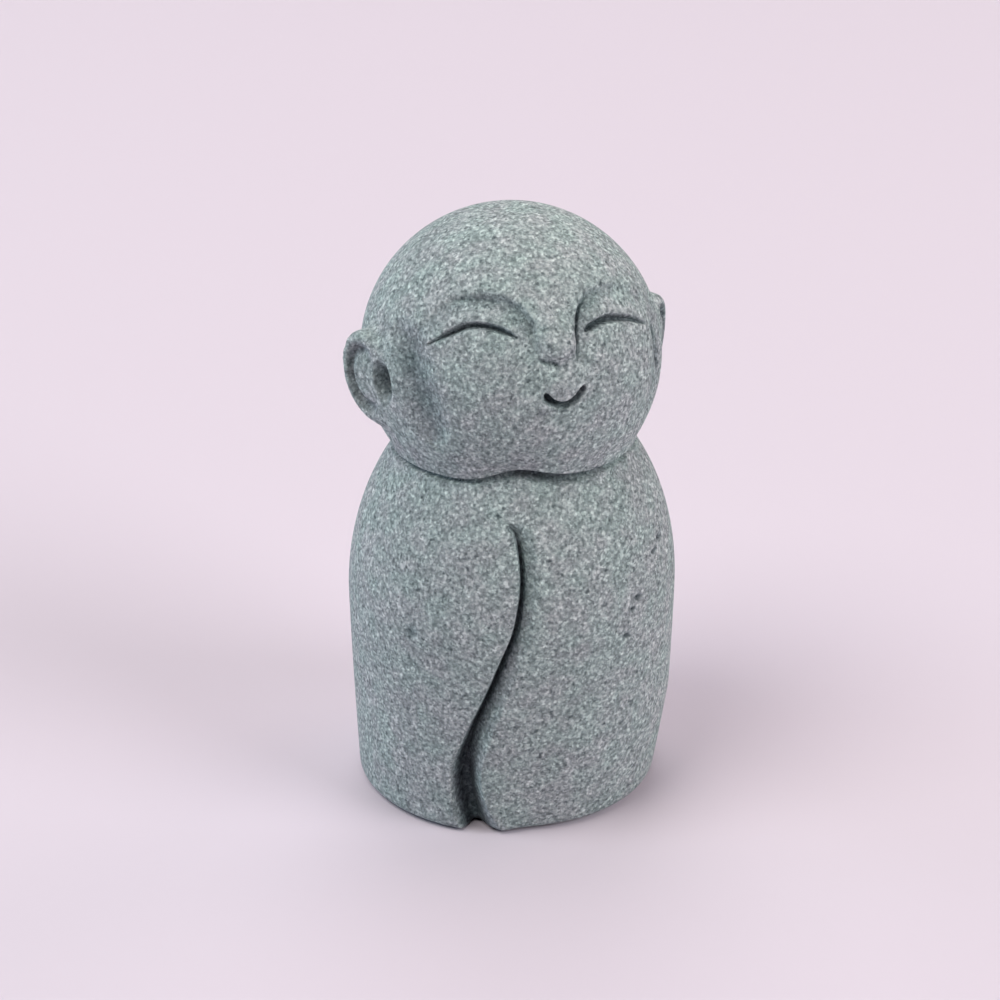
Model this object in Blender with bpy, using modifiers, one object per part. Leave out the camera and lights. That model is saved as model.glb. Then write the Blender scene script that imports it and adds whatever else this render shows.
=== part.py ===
"""A small monk in cast stone: a round smiling head on a plain robed body, all in one piece.

The figure stands on the floor at z = 0 and faces -Y, and its left is +X. Simple solids are
joined into a rough block, the block is settled onto the plain form that base_form describes
as a distance, and the carving is then cut inward from it. The free form keeps its
proportions as so many units of its height.
"""

import math

import bmesh
import bpy
import numpy as np

# Overall size in metres, and the unit of the free form: one millimetre at this height
HEIGHT = 0.065
UNIT = HEIGHT / 65

# Robe: a dome over a drum that narrows a little to the hem
ROBE_HALF_WIDTH = 17.7 * UNIT
ROBE_HALF_DEPTH = 17.2 * UNIT
ROBE_WIDEST_Z = 23.0 * UNIT
ROBE_DOME_RISE = 24.0 * UNIT
ROBE_DOME_LEAN = 0.55 * UNIT
HEM_INSET = 0.9 * UNIT
HEM_INSET_CURVE = 1.3
HEM_ROUNDING = 1.3 * UNIT

# Left panel of the robe: its hem is worn in further than the right panel's
WORN_INSET = 1.2 * UNIT
WORN_HEIGHT = 11.0 * UNIT
WORN_CURVE = 1.05
WORN_FROM = math.radians(-14)
WORN_FULL = math.radians(6)
WORN_FADES = math.radians(105)
WORN_ENDS = math.radians(150)

# Head: a ball set back on the robe and turned to the figure's left
HEAD_RADIUS = 16.0 * UNIT
HEAD_SET_BACK = 2.0 * UNIT
HEAD_TURN = math.radians(16.5)
JOWL_SWELL = -0.35 * UNIT
CHIN_SWELL = 0.85 * UNIT
CHIN_BEARING = math.radians(-14)
JOWL_STARTS = math.radians(-8)
JOWL_FULL = math.radians(-32)
CHIN_NOTCH_DEPTH = 1.2 * UNIT
CHIN_NOTCH_BEARING = math.radians(-17)
CHIN_NOTCH_LIFT = math.radians(-34)
CHIN_NOTCH_SPREAD = math.radians(13)

# Crease under the chin, wider and deeper in front
NECK_BLEND = 1.6 * UNIT
CREASE_HALF_WIDTH = 0.42 * UNIT
CREASE_DEPTH = 0.60 * UNIT
CREASE_FRONT_WIDTH = 0.50 * UNIT
CREASE_FRONT_DEPTH = 0.65 * UNIT
CREASE_FRONT_BEARING = math.radians(11)
CREASE_FRONT_SPREAD = math.radians(24)

# Ears: thick oval discs that face forward and outward; -1 is the right ear and 1 the left,
# each at its own place out from the head's middle, forward and up
EAR_PLACE = {-1: (15.8 * UNIT, 0.9 * UNIT, 0.0), 1: (15.5 * UNIT, 0.9 * UNIT, 0.3 * UNIT)}
EAR_HALF_HEIGHT = {-1: 4.9 * UNIT, 1: 4.0 * UNIT}
EAR_HALF_WIDTH = 3.2 * UNIT
EAR_HALF_THICKNESS = 1.0 * UNIT
EAR_FACING = math.radians(51)
EAR_ROUNDING = 0.9 * UNIT
EAR_LEAN = 0.17
EAR_BLEND = 1.6 * UNIT

# The groove inside each ear's rim, as shares of the ear's size, and the hollow at its middle
EAR_INSIDE = 1.3
EAR_GROOVE_AT = 0.63
EAR_GROOVE_SPREAD = 0.13
EAR_GROOVE_STARTS = -0.5
EAR_GROOVE_FULL = 0.1
EAR_GROOVE_DEPTH = 0.75 * UNIT
EAR_HOLLOW_OUT = {-1: -2.6 * UNIT, 1: -1.6 * UNIT}
EAR_HOLLOW_LIFT = {-1: 0.4 * UNIT, 1: 0.6 * UNIT}
EAR_HOLLOW_HALF_WIDTH = {-1: 1.4 * UNIT, 1: 1.5 * UNIT}
EAR_HOLLOW_HALF_HEIGHT = {-1: 2.4 * UNIT, 1: 1.6 * UNIT}
EAR_HOLLOW_DEPTH = {-1: 2.0 * UNIT, 1: 1.9 * UNIT}
EAR_HOLLOW_EDGE = 1.1
EAR_HOLLOW_FLOOR = 0.2

# Nose: a bridge that widens and stands out down to its tip, over a base that runs to a point
NOSE_MIDDLE_U = -0.25 * UNIT
NOSE_HALF_WIDTH = 1.95 * UNIT
NOSE_ROOT_SHARE = 0.65
NOSE_EDGE = 0.6 * UNIT
NOSE_RIGHT_SOFTNESS = 2.0
NOSE_LEFT_SOFTNESS = 1.0
NOSE_HEIGHT = 1.05 * UNIT
NOSE_ROOT_W = 11.5 * UNIT
NOSE_TIP_W = 6.3 * UNIT
NOSE_BASE_W = 4.6 * UNIT
NOSE_BASE_SLANT = 0.45

# Upper lip: a small round mound inside the mouth
LIP_U = 0.4 * UNIT
LIP_W = 2.7 * UNIT
LIP_RADIUS = 1.9 * UNIT
LIP_HEIGHT = 0.45 * UNIT

# Strokes of the face: points (u, w) on the front of the head, u to the figure's left and
# w up from the head's middle
STROKE_TAPER = (0.12, 0.12)
FINE_TAPER = (0.3, 0.15)
TIP_WIDTH = 0.25
TIP_DEPTH = 0.15
RIGHT_EYE = ((-12.1, 6.2), (-10.2, 7.7), (-8.6, 8.6), (-7.1, 8.8), (-5.5, 8.5), (-4.0, 7.7))
RIGHT_EYE_TAPER = (0.25, 0.20)
LEFT_EYE = (
    (3.3, 7.6), (4.2, 8.0), (5.4, 8.2), (6.6, 8.1), (7.8, 7.7), (9.1, 7.2), (10.4, 6.4), (11.3, 5.7)
)
LEFT_EYE_TAPER = (0.10, 0.65)
LEFT_EYE_FULLER = 1.25
EYE_ABOVE = 0.32 * UNIT
EYE_BELOW = 0.76 * UNIT
EYE_DEPTH = 0.90 * UNIT
MOUTH = (
    (-1.9, 2.2), (-1.6, 1.5), (-1.1, 1.05), (-0.35, 0.75), (0.5, 0.8), (1.3, 1.25), (2.05, 1.95), (2.35, 2.5)
)
MOUTH_HALF_WIDTH = 0.50 * UNIT
MOUTH_FLOOR = 0.35
MOUTH_DEPTH = 1.30 * UNIT
NOSE_SIDE = ((4.2, 10.4), (3.35, 9.9), (2.85, 9.2), (2.45, 8.3), (2.2, 7.1), (2.0, 6.1), (1.75, 5.0))
NOSE_FOOT = ((-2.35, 5.7), (-1.8, 5.3), (-1.0, 5.1), (-0.3, 4.8))
BROW_EDGE = ((-9.7, 10.2), (-8.5, 10.7), (-7.3, 10.9), (-6.1, 11.0), (-5.1, 10.8))
EAR_FRONT = ((12.6, 5.1), (12.85, 4.3), (13.0, 3.4), (13.2, 2.5), (13.5, 1.4), (13.7, 0.2), (13.7, -0.8))
EAR_FRONT_TAPER = (0.1, 0.8)
EAR_FRONT_HALF_WIDTH = 1.0 * UNIT
EAR_FRONT_FLOOR = 0.3
EAR_FRONT_DEPTH = 1.1 * UNIT
FINE_HALF_WIDTH = 0.38 * UNIT
NOSE_SIDE_DEPTH = 0.50 * UNIT
NOSE_FOOT_DEPTH = 0.35 * UNIT
BROW_EDGE_DEPTH = 0.25 * UNIT
RIGHT_BROW = (
    (-13.4, 6.1), (-11.7, 8.1), (-9.4, 10.2), (-6.2, 11.1), (-3.8, 10.4), (-2.7, 8.9), (-2.8, 7.0),
    (-2.7, 4.7)
)
LEFT_BROW = (
    (12.4, 7.1), (10.6, 8.6), (8.6, 9.8), (5.3, 10.6), (3.7, 10.1), (2.8, 8.9), (2.4, 7.1), (2.4, 4.7)
)
BROW_DEPTH = 0.65 * UNIT
BROW_DEPTH_ALONG = ((0.0, 0.35), (0.2, 0.35), (0.55, 0.95), (0.7, 1.0), (0.85, 0.65), (1.0, 0.0))
BROW_NEAR_WIDTH = 0.7 * UNIT
BROW_FAR_WIDTH = 2.2 * UNIT
RIGHT_TEMPLE = (
    (-13.9, 7.0), (-13.6, 5.5), (-13.7, 3.6), (-13.5, 1.6), (-13.0, -0.5), (-12.3, -2.6), (-11.5, -4.4)
)
TEMPLE_TAPER = (0.3, 0.3)
TEMPLE_HALF_WIDTH = 3.6 * UNIT
TEMPLE_DEPTH = {-1: 0.95 * UNIT, 1: 0.45 * UNIT}

# The robe's open edge: points (x, z) on its front, where the right panel laps the left one
ROBE_EDGE = (
    (-1.2, 36.3), (-0.6, 35.9), (-0.2, 35.0), (0.1, 33.5), (0.25, 31.6), (0.2, 29.6), (-0.1, 27.6),
    (-0.5, 25.5), (-1.05, 23.8), (-1.95, 21.6), (-3.0, 18.9), (-4.1, 16.3), (-5.3, 13.6), (-6.2, 11.2),
    (-6.95, 9.0), (-7.25, 6.8), (-7.1, 4.4), (-6.7, 2.4), (-6.1, 0.0), (-5.6, -2.0)
)
EDGE_DEPTH_AT_Z = (
    (0.0, 2.3), (3.0, 2.8), (8.0, 2.6), (12.0, 1.7), (16.0, 1.3), (24.0, 1.0), (34.0, 0.85), (36.0, 0.5),
    (37.0, 0.1)
)
EDGE_FLOOR_AT_Z = ((0.0, 1.0), (7.0, 0.9), (10.0, 0.5), (13.0, 0.1), (16.0, 0.0))
EDGE_LAP_WIDTH_AT_Z = ((0.0, 0.9), (7.0, 0.75), (11.0, 0.6), (16.0, 0.45))
EDGE_SLOPE_WIDTH_AT_Z = (
    (0.0, 4.3), (3.0, 3.4), (7.0, 3.0), (12.0, 2.4), (18.0, 2.0), (24.0, 1.8), (34.0, 1.9), (36.0, 1.5)
)
EDGE_LINE_DEPTH_AT_Z = ((7.0, 0.0), (10.0, 0.6), (18.0, 0.9), (34.0, 0.85), (35.7, 0.45), (36.6, 0.0))
EDGE_LINE_HALF_WIDTH = 0.55 * UNIT

# Mesh: its spacing, and how far an edge may stray from the carved surface before it is split
BLOCK_SPACING = 0.42 * UNIT
BLOCK_FOOT = 3.0 * UNIT
FOOT_KEPT = 0.84 * UNIT
BALL_SEGMENTS = 64
BALL_RINGS = 40
DRUM_SEGMENTS = 96
EAR_BLOCK_HALF_THICKNESS = 1.2 * UNIT
BEND_ALLOWED = 0.012 * UNIT
REFINE_ROUNDS = 2
SHORTEST_EDGE = 0.10 * UNIT
CARVED_SPACING = 0.22 * UNIT
TRIANGLES_BEFORE_CUT = 9800
SETTLE_STEPS = 5
LONGEST_STEP = 0.3 * UNIT
PROBE = 0.01 * UNIT
PIECES_PER_POINT = 5
STROKE_REACH = 3.5 * UNIT
TINY = 1e-9

STONE_COLOUR = (0.27, 0.31, 0.32, 1.0)
STONE_ROUGHNESS = 0.93


def ease(value, start, end):
    """0 at start and 1 at end, with a smooth run between them."""
    t = np.clip((value - start) / (end - start), 0.0, 1.0)
    return t * t * (3.0 - 2.0 * t)


def bell(value, spread):
    """1 at zero, falling smoothly to nothing at about twice the spread."""
    return np.exp(-((value / spread) ** 2))


def smooth_union(a, b, blend):
    share = np.clip(0.5 + 0.5 * (b - a) / blend, 0.0, 1.0)
    return b + (a - b) * share - blend * share * (1.0 - share)


def rounded_corner(a, b, radius):
    """Where two walls meet, kept inside both, with the corner between them rounded."""
    outside = np.hypot(np.maximum(a + radius, 0.0), np.maximum(b + radius, 0.0)) - radius
    return np.where((a > -radius) & (b > -radius), outside, np.maximum(a, b))


def oval(x, y, half_width, half_height):
    """Distance to an ellipse, near its edge."""
    scaled = np.hypot(x / half_width, y / half_height) + TINY
    slope = np.hypot(x / half_width**2, y / half_height**2) + TINY
    return scaled * (scaled - 1.0) / slope


def value_at(z, table):
    """A size that changes with height, from pairs of height and size in units."""
    heights, sizes = np.array(table).T * UNIT
    return np.interp(z, heights, sizes)


def smooth_path(points):
    """Points along a smooth curve through the given ones."""
    ends = np.vstack([2 * points[0] - points[1], points, 2 * points[-1] - points[-2]])
    places = np.linspace(0, len(points) - 1, (len(points) - 1) * PIECES_PER_POINT + 1)
    first = np.minimum(places.astype(int), len(points) - 2)
    t = (places - first)[:, None]
    a, b, c, d = (ends[first + k] for k in range(4))
    bend = (2 * a - 5 * b + 4 * c - d) * t**2 + (3 * b - a - 3 * c + d) * t**3
    return 0.5 * (2 * b + (c - a) * t + bend)


def along_stroke(p, outward, path):
    """For each point: its sideways distance from the path, positive on the path's own left
    as seen from outside, and the share of the path's length that lies before it."""
    close = np.all((p > path.min(axis=0) - STROKE_REACH) & (p < path.max(axis=0) + STROKE_REACH), axis=1)
    all_sideways = np.full(len(p), np.inf)
    all_share = np.zeros(len(p))
    p, outward = p[close], outward[close]
    nearest = np.full(len(p), np.inf)
    sideways = nearest.copy()
    share = np.zeros(len(p))
    pieces = len(path) - 1
    for number in range(pieces):
        start = path[number]
        run = path[number + 1] - start
        along = np.clip((p - start) @ run / (run @ run), 0.0, 1.0)
        offset = p - start - along[:, None] * run
        distance = np.linalg.norm(offset, axis=1)
        left = np.einsum("ij,ij->i", offset, np.cross(run, outward)) >= 0.0
        closer = distance < nearest
        nearest = np.where(closer, distance, nearest)
        sideways = np.where(closer, np.where(left, distance, -distance), sideways)
        share = np.where(closer, (number + along) / pieces, share)
    all_sideways[close] = sideways
    all_share[close] = share
    return all_sideways, all_share


def head_place(p):
    """The points in the head's own frame: u to its left, v forward and w up, from its middle."""
    x = p[:, 0]
    y = p[:, 1] - HEAD_SET_BACK
    w = p[:, 2] - (HEIGHT - HEAD_RADIUS)
    turn, tilt = math.cos(HEAD_TURN), math.sin(HEAD_TURN)
    return np.column_stack([x * turn + y * tilt, x * tilt - y * turn, w])


def on_head(points):
    """Points (u, w) in units, placed on the front of the ball."""
    u, w = np.array(points).T * UNIT
    v = np.sqrt(np.maximum(HEAD_RADIUS**2 - u**2 - w**2, 0.0))
    return np.column_stack([u, v, w])


def on_robe(points):
    """Points (x, z) in units, placed on the front of the drum."""
    x, z = np.array(points).T * UNIT
    return np.column_stack([x, -np.sqrt(ROBE_HALF_WIDTH**2 - x**2), z])


def robe_form(p):
    z = p[:, 2] - ROBE_WIDEST_Z
    x = p[:, 0] - ROBE_DOME_LEAN * np.clip(z / ROBE_DOME_RISE, 0.0, 1.0)
    y = p[:, 1] * ROBE_HALF_WIDTH / ROBE_HALF_DEPTH
    across = np.hypot(x, y)
    dome = oval(across, z, ROBE_HALF_WIDTH, ROBE_DOME_RISE)
    drop = np.clip(-z / ROBE_WIDEST_Z, 0.0, 1.0)
    drum = across - ROBE_HALF_WIDTH + HEM_INSET * drop**HEM_INSET_CURVE
    bearing = np.arctan2(p[:, 0], -p[:, 1])
    worn = ease(bearing, WORN_FROM, WORN_FULL) * ease(bearing, WORN_ENDS, WORN_FADES)
    low = np.clip(1.0 - np.maximum(p[:, 2], 0.0) / WORN_HEIGHT, 0.0, 1.0)
    return np.where(z > 0.0, dome, drum + WORN_INSET * worn * low**WORN_CURVE)


def ear_place(q, side):
    """A point's place on one ear: out along its face, up it, and forward out of it."""
    ear_out, ear_forward, ear_up = EAR_PLACE[side]
    u = q[:, 0] * side - ear_out
    v = q[:, 1] - ear_forward
    up = q[:, 2] - ear_up
    out = u * math.cos(EAR_FACING) - v * math.sin(EAR_FACING) - up * EAR_LEAN
    forward = u * math.sin(EAR_FACING) + v * math.cos(EAR_FACING)
    return out, up, forward


def ear_form(q, side):
    out, up, forward = ear_place(q, side)
    outline = oval(out, up, EAR_HALF_WIDTH, EAR_HALF_HEIGHT[side])
    return rounded_corner(outline, np.abs(forward) - EAR_HALF_THICKNESS, EAR_ROUNDING)


def nose_height(q):
    """How far the bridge, the tip and the upper lip stand out from the ball."""
    u, v, w = q.T
    aside = np.abs(u - NOSE_MIDDLE_U)
    down = ease(w, NOSE_ROOT_W, NOSE_TIP_W)
    under = ease(w - NOSE_BASE_SLANT * aside, NOSE_BASE_W, NOSE_TIP_W)
    half_width = NOSE_HALF_WIDTH * (NOSE_ROOT_SHARE + (1.0 - NOSE_ROOT_SHARE) * down)
    softness = np.where(u > NOSE_MIDDLE_U, NOSE_LEFT_SOFTNESS, NOSE_RIGHT_SOFTNESS)
    bridge = down * under * ease(aside, half_width + NOSE_EDGE, half_width - softness * NOSE_EDGE)
    lip = bell(np.hypot(u - LIP_U, w - LIP_W), LIP_RADIUS)
    return np.where(v > 0.0, NOSE_HEIGHT * bridge + LIP_HEIGHT * lip, 0.0)


def ball_form(q):
    """The head without its ears: a ball, fuller at the jowls and notched over the robe's front."""
    u, v, w = q.T
    radius = np.linalg.norm(q, axis=1) + TINY
    lift = np.arcsin(w / radius)
    bearing = np.arctan2(u, v)
    full = ease(lift, JOWL_STARTS, JOWL_FULL) * (JOWL_SWELL + CHIN_SWELL * np.cos(bearing - CHIN_BEARING))
    notch = bell(bearing - CHIN_NOTCH_BEARING, CHIN_NOTCH_SPREAD)
    notch = notch * bell(lift - CHIN_NOTCH_LIFT, CHIN_NOTCH_SPREAD)
    return radius - HEAD_RADIUS - full + CHIN_NOTCH_DEPTH * notch - nose_height(q)


def head_form(q):
    head = ball_form(q)
    for side in (-1, 1):
        head = smooth_union(head, ear_form(q, side), EAR_BLEND)
    return head


def stroke_depth(sideways, share, widths, taper=STROKE_TAPER, floor=0.0):
    """1 along the middle of a stroke, 0 past its edges, narrowing to a point at both ends. The
    two widths are those on its left and right, and the floor the share of them that is flat."""
    ends = np.sqrt(np.clip(np.minimum(share / taper[0], (1.0 - share) / taper[1]), 0.0, 1.0))
    width = np.where(sideways > 0.0, *widths) * (TIP_WIDTH + (1.0 - TIP_WIDTH) * ends)
    return (TIP_DEPTH + (1.0 - TIP_DEPTH) * ends) * ease(np.abs(sideways), width, floor * width)


def face_lines(q):
    """How deep the eyes, the mouth, the fine lines of the nose and brow, and the cleft between
    the left cheek and ear are cut."""
    flat = q / (np.linalg.norm(q, axis=1)[:, None] + TINY)
    on_ball = flat * HEAD_RADIUS
    cut = np.zeros(len(q))
    eyes = ((RIGHT_EYE, RIGHT_EYE_TAPER, 1.0), (LEFT_EYE, LEFT_EYE_TAPER, LEFT_EYE_FULLER))
    for eye, taper, fuller in eyes:
        sideways, share = along_stroke(on_ball, flat, smooth_path(on_head(eye)))
        lid = stroke_depth(sideways, share, (EYE_ABOVE * fuller, EYE_BELOW * fuller), taper)
        cut = np.maximum(cut, EYE_DEPTH * fuller * lid)
    fine_lines = ((NOSE_SIDE, NOSE_SIDE_DEPTH), (NOSE_FOOT, NOSE_FOOT_DEPTH), (BROW_EDGE, BROW_EDGE_DEPTH))
    for line, depth in fine_lines:
        sideways, share = along_stroke(on_ball, flat, smooth_path(on_head(line)))
        cut = np.maximum(cut, depth * stroke_depth(sideways, share, (FINE_HALF_WIDTH,) * 2, FINE_TAPER))
    sideways, share = along_stroke(on_ball, flat, smooth_path(on_head(MOUTH)))
    smile = stroke_depth(sideways, share, (MOUTH_HALF_WIDTH,) * 2, floor=MOUTH_FLOOR)
    cut = np.maximum(cut, MOUTH_DEPTH * smile)
    sideways, share = along_stroke(on_ball, flat, smooth_path(on_head(EAR_FRONT)))
    cleft = stroke_depth(sideways, share, (EAR_FRONT_HALF_WIDTH,) * 2, EAR_FRONT_TAPER, EAR_FRONT_FLOOR)
    return np.maximum(cut, EAR_FRONT_DEPTH * cleft)


def face_carving(q):
    """How deep the lines, the hollows by the brows and those at the temples are cut."""
    flat = q / (np.linalg.norm(q, axis=1)[:, None] + TINY)
    on_ball = flat * HEAD_RADIUS
    cut = face_lines(q)
    for brow, nose_side in ((RIGHT_BROW, 1.0), (LEFT_BROW, -1.0)):
        sideways, share = along_stroke(on_ball, flat, smooth_path(on_head(brow)))
        depth = stroke_depth(sideways * nose_side, share, (BROW_NEAR_WIDTH, BROW_FAR_WIDTH))
        cut = cut + BROW_DEPTH * np.interp(share, *np.array(BROW_DEPTH_ALONG).T) * depth
    for side in (-1, 1):
        temple = on_head(RIGHT_TEMPLE) * (-side, 1, 1)
        sideways, share = along_stroke(on_ball, flat, smooth_path(temple))
        hollow = stroke_depth(sideways, share, (TEMPLE_HALF_WIDTH,) * 2, TEMPLE_TAPER)
        cut = cut + TEMPLE_DEPTH[side] * hollow
    return cut


def ear_carving(q):
    """The groove inside each ear's rim, and the hollow at its middle."""
    cut = np.zeros(len(q))
    for side in (-1, 1):
        out, up, forward = ear_place(q, side)
        rim = np.hypot(out / EAR_HALF_WIDTH, up / EAR_HALF_HEIGHT[side])
        outer = ease(out / EAR_HALF_WIDTH, EAR_GROOVE_STARTS, EAR_GROOVE_FULL)
        groove = EAR_GROOVE_DEPTH * bell(rim - EAR_GROOVE_AT, EAR_GROOVE_SPREAD) * outer
        hollow_out = (out - EAR_HOLLOW_OUT[side]) / EAR_HOLLOW_HALF_WIDTH[side]
        hollow_up = (up - EAR_HOLLOW_LIFT[side]) / EAR_HOLLOW_HALF_HEIGHT[side]
        hollow = ease(np.hypot(hollow_out, hollow_up), EAR_HOLLOW_EDGE, EAR_HOLLOW_FLOOR)
        inside = (forward > 0.0) & (rim < EAR_INSIDE)
        cut = cut + np.where(inside, np.maximum(groove, EAR_HOLLOW_DEPTH[side] * hollow), 0.0)
    return cut


def robe_carving(p):
    """The step and slope where one panel of the robe laps the other."""
    across = np.hypot(p[:, 0], p[:, 1]) + TINY
    outward = np.column_stack([p[:, 0] / across, p[:, 1] / across, np.zeros(len(p))])
    on_drum = outward * ROBE_HALF_WIDTH
    on_drum[:, 2] = p[:, 2]
    sideways, _ = along_stroke(on_drum, outward, smooth_path(on_robe(ROBE_EDGE)))
    z = p[:, 2]
    floor = value_at(z, EDGE_FLOOR_AT_Z)
    slope_width = value_at(z, EDGE_SLOPE_WIDTH_AT_Z)
    lap = ease(sideways, value_at(z, EDGE_LAP_WIDTH_AT_Z), 0.0)
    slope = np.clip((slope_width + sideways) / (slope_width - floor), 0.0, 1.0)
    line = value_at(z, EDGE_LINE_DEPTH_AT_Z) * ease(np.abs(sideways), EDGE_LINE_HALF_WIDTH, 0.0)
    return value_at(z, EDGE_DEPTH_AT_Z) * np.where(sideways > 0.0, lap, slope) + line


def base_form(p):
    """Distance to the uncarved figure, less than zero inside it."""
    return smooth_union(robe_form(p), head_form(head_place(p)), NECK_BLEND)


def carving(p):
    """How far the carving takes the surface in, at each point."""
    q = head_place(p)
    robe, head = robe_form(p), head_form(q)
    bearing = np.arctan2(p[:, 0], -p[:, 1])
    front = bell(bearing - CREASE_FRONT_BEARING, CREASE_FRONT_SPREAD)
    width = CREASE_HALF_WIDTH + CREASE_FRONT_WIDTH * front
    crease = (CREASE_DEPTH + CREASE_FRONT_DEPTH * front) * ease(np.abs(robe - head), width, 0.0)
    on_head_side = head < robe
    cut = np.zeros(len(p))
    cut[on_head_side] = face_carving(q[on_head_side]) + ear_carving(q[on_head_side])
    on_front = ~on_head_side & (p[:, 1] < 0.0)
    cut[on_front] = robe_carving(p[on_front])
    return cut + crease


def hem_inset(p):
    """How far the rounding of the hem takes the surface in, just over the floor."""
    short = np.clip(HEM_ROUNDING - p[:, 2], 0.0, HEM_ROUNDING)
    return HEM_ROUNDING - np.sqrt(HEM_ROUNDING**2 - short**2)


def whole_depth(p):
    return carving(p) + hem_inset(p)


def slope_of(form, p, here):
    """The form's rate of change along x, y and z at each point, where its value is here."""
    return np.column_stack([(form(p + step) - here) / PROBE for step in np.eye(3) * PROBE])


def settle(p, form):
    """Moves points onto the surface where the form is zero, by steps along its slope."""
    for _ in range(SETTLE_STEPS):
        here = form(p)
        slope = slope_of(form, p, here)
        steepness = np.einsum("ij,ij->i", slope, slope) + TINY
        move = -slope * (here / steepness)[:, None]
        length = np.linalg.norm(move, axis=1)[:, None] + TINY
        p = p + move * np.minimum(1.0, LONGEST_STEP / length)
    return p


def settle_sides(p):
    """Settles all the points but those of the block's foot, which the floor cuts off later."""
    on_side = p[:, 2] > FOOT_KEPT - BLOCK_FOOT
    p[on_side] = settle(p[on_side], base_form)
    return p


def clear_scene():
    for obj in list(bpy.data.objects):
        bpy.data.objects.remove(obj, do_unlink=True)


def new_collection(name):
    collection = bpy.data.collections.new(name)
    bpy.context.scene.collection.children.link(collection)
    return collection


def ball(bm, centre, radii, turn=0.0):
    """A round ball stretched to its three radii, turned about the upright axis."""
    made = bmesh.ops.create_uvsphere(bm, u_segments=BALL_SEGMENTS, v_segments=BALL_RINGS, radius=1.0)
    for vert in made["verts"]:
        x, y, z = (vert.co[k] * radii[k] for k in range(3))
        vert.co = (
            centre[0] + x * math.cos(turn) - y * math.sin(turn),
            centre[1] + x * math.sin(turn) + y * math.cos(turn),
            centre[2] + z,
        )


def drum(bm, half_width, half_depth, bottom, top):
    made = bmesh.ops.create_cone(
        bm, cap_ends=True, segments=DRUM_SEGMENTS, radius1=half_width, radius2=half_width, depth=top - bottom
    )
    for vert in made["verts"]:
        vert.co.y *= half_depth / half_width
        vert.co.z += (top + bottom) / 2


def rough_block():
    """The figure's main solids, standing into each other."""
    bm = bmesh.new()
    drum(bm, ROBE_HALF_WIDTH, ROBE_HALF_DEPTH, -BLOCK_FOOT, ROBE_WIDEST_Z)
    ball(bm, (0, 0, ROBE_WIDEST_Z), (ROBE_HALF_WIDTH, ROBE_HALF_DEPTH, ROBE_DOME_RISE))
    head_z = HEIGHT - HEAD_RADIUS
    ball(bm, (0, HEAD_SET_BACK, head_z), (HEAD_RADIUS,) * 3)
    for side in (-1, 1):
        ear_out, ear_forward, ear_up = EAR_PLACE[side]
        u = ear_out * side
        x = u * math.cos(HEAD_TURN) + ear_forward * math.sin(HEAD_TURN)
        y = u * math.sin(HEAD_TURN) - ear_forward * math.cos(HEAD_TURN) + HEAD_SET_BACK
        radii = (EAR_HALF_WIDTH, EAR_BLOCK_HALF_THICKNESS, EAR_HALF_HEIGHT[side])
        ball(bm, (x, y, head_z + ear_up), radii, HEAD_TURN + side * EAR_FACING)
    mesh = bpy.data.meshes.new("monk_block")
    bm.to_mesh(mesh)
    bm.free()
    return mesh


def evaluated_mesh(obj):
    graph = bpy.context.evaluated_depsgraph_get()
    return bpy.data.meshes.new_from_object(obj.evaluated_get(graph))


def with_modifier(obj, kind, **settings):
    """Runs one modifier on the object's mesh, and keeps the result as the mesh."""
    modifier = obj.modifiers.new(kind.title(), kind)
    for name, value in settings.items():
        setattr(modifier, name, value)
    made = evaluated_mesh(obj)
    obj.modifiers.remove(modifier)
    old = obj.data
    obj.data = made
    bpy.data.meshes.remove(old)


def vertices_of(mesh):
    flat = np.empty(len(mesh.vertices) * 3)
    mesh.vertices.foreach_get("co", flat)
    return flat.reshape(-1, 3)


def put_vertices(mesh, p):
    mesh.vertices.foreach_set("co", p.ravel())
    mesh.update()


def cut_at_floor(mesh):
    """Takes off what lies under the floor, and closes the cut with a flat face."""
    bm = bmesh.new()
    bm.from_mesh(mesh)
    everything = bm.verts[:] + bm.edges[:] + bm.faces[:]
    cut = bmesh.ops.bisect_plane(
        bm, geom=everything, dist=0.0, plane_co=(0, 0, 0), plane_no=(0, 0, -1), clear_outer=True
    )
    rim = [part for part in cut["geom_cut"] if isinstance(part, bmesh.types.BMEdge)]
    bmesh.ops.edgeloop_fill(bm, edges=rim)
    bm.to_mesh(mesh)
    bm.free()


def middle_of(p):
    low, high = p.min(axis=0), p.max(axis=0)
    return np.array([(low[0] + high[0]) / 2, (low[1] + high[1]) / 2, low[2]])


def outward_of(p):
    """The direction straight out of the uncarved figure at each point."""
    slope = slope_of(base_form, p, base_form(p))
    return slope / np.linalg.norm(slope, axis=1)[:, None]


def refine(mesh):
    """Splits the edges that the carving bends between their ends, so that thin lines come out clean."""
    bm = bmesh.new()
    bm.from_mesh(mesh)
    bmesh.ops.triangulate(bm, faces=bm.faces[:])
    for _ in range(REFINE_ROUNDS):
        bm.verts.index_update()
        p = np.array([vert.co for vert in bm.verts])
        ends = np.array([[vert.index for vert in edge.verts] for edge in bm.edges])
        middle = p[ends].mean(axis=1)
        depth = whole_depth(p)
        bend = np.abs(whole_depth(middle) - depth[ends].mean(axis=1))
        length = np.linalg.norm(p[ends[:, 0]] - p[ends[:, 1]], axis=1)
        coarse = (bend > BEND_ALLOWED) & (length > SHORTEST_EDGE) & (middle[:, 2] > -SHORTEST_EDGE)
        edges = [edge for edge, split in zip(bm.edges[:], coarse) if split]
        bmesh.ops.subdivide_edges(bm, edges=edges, cuts=1)
        bmesh.ops.triangulate(bm, faces=bm.faces[:])
        p = settle_sides(np.array([vert.co for vert in bm.verts]))
        for vert, place in zip(bm.verts, p):
            vert.co = place
    bm.to_mesh(mesh)
    bm.free()


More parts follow.
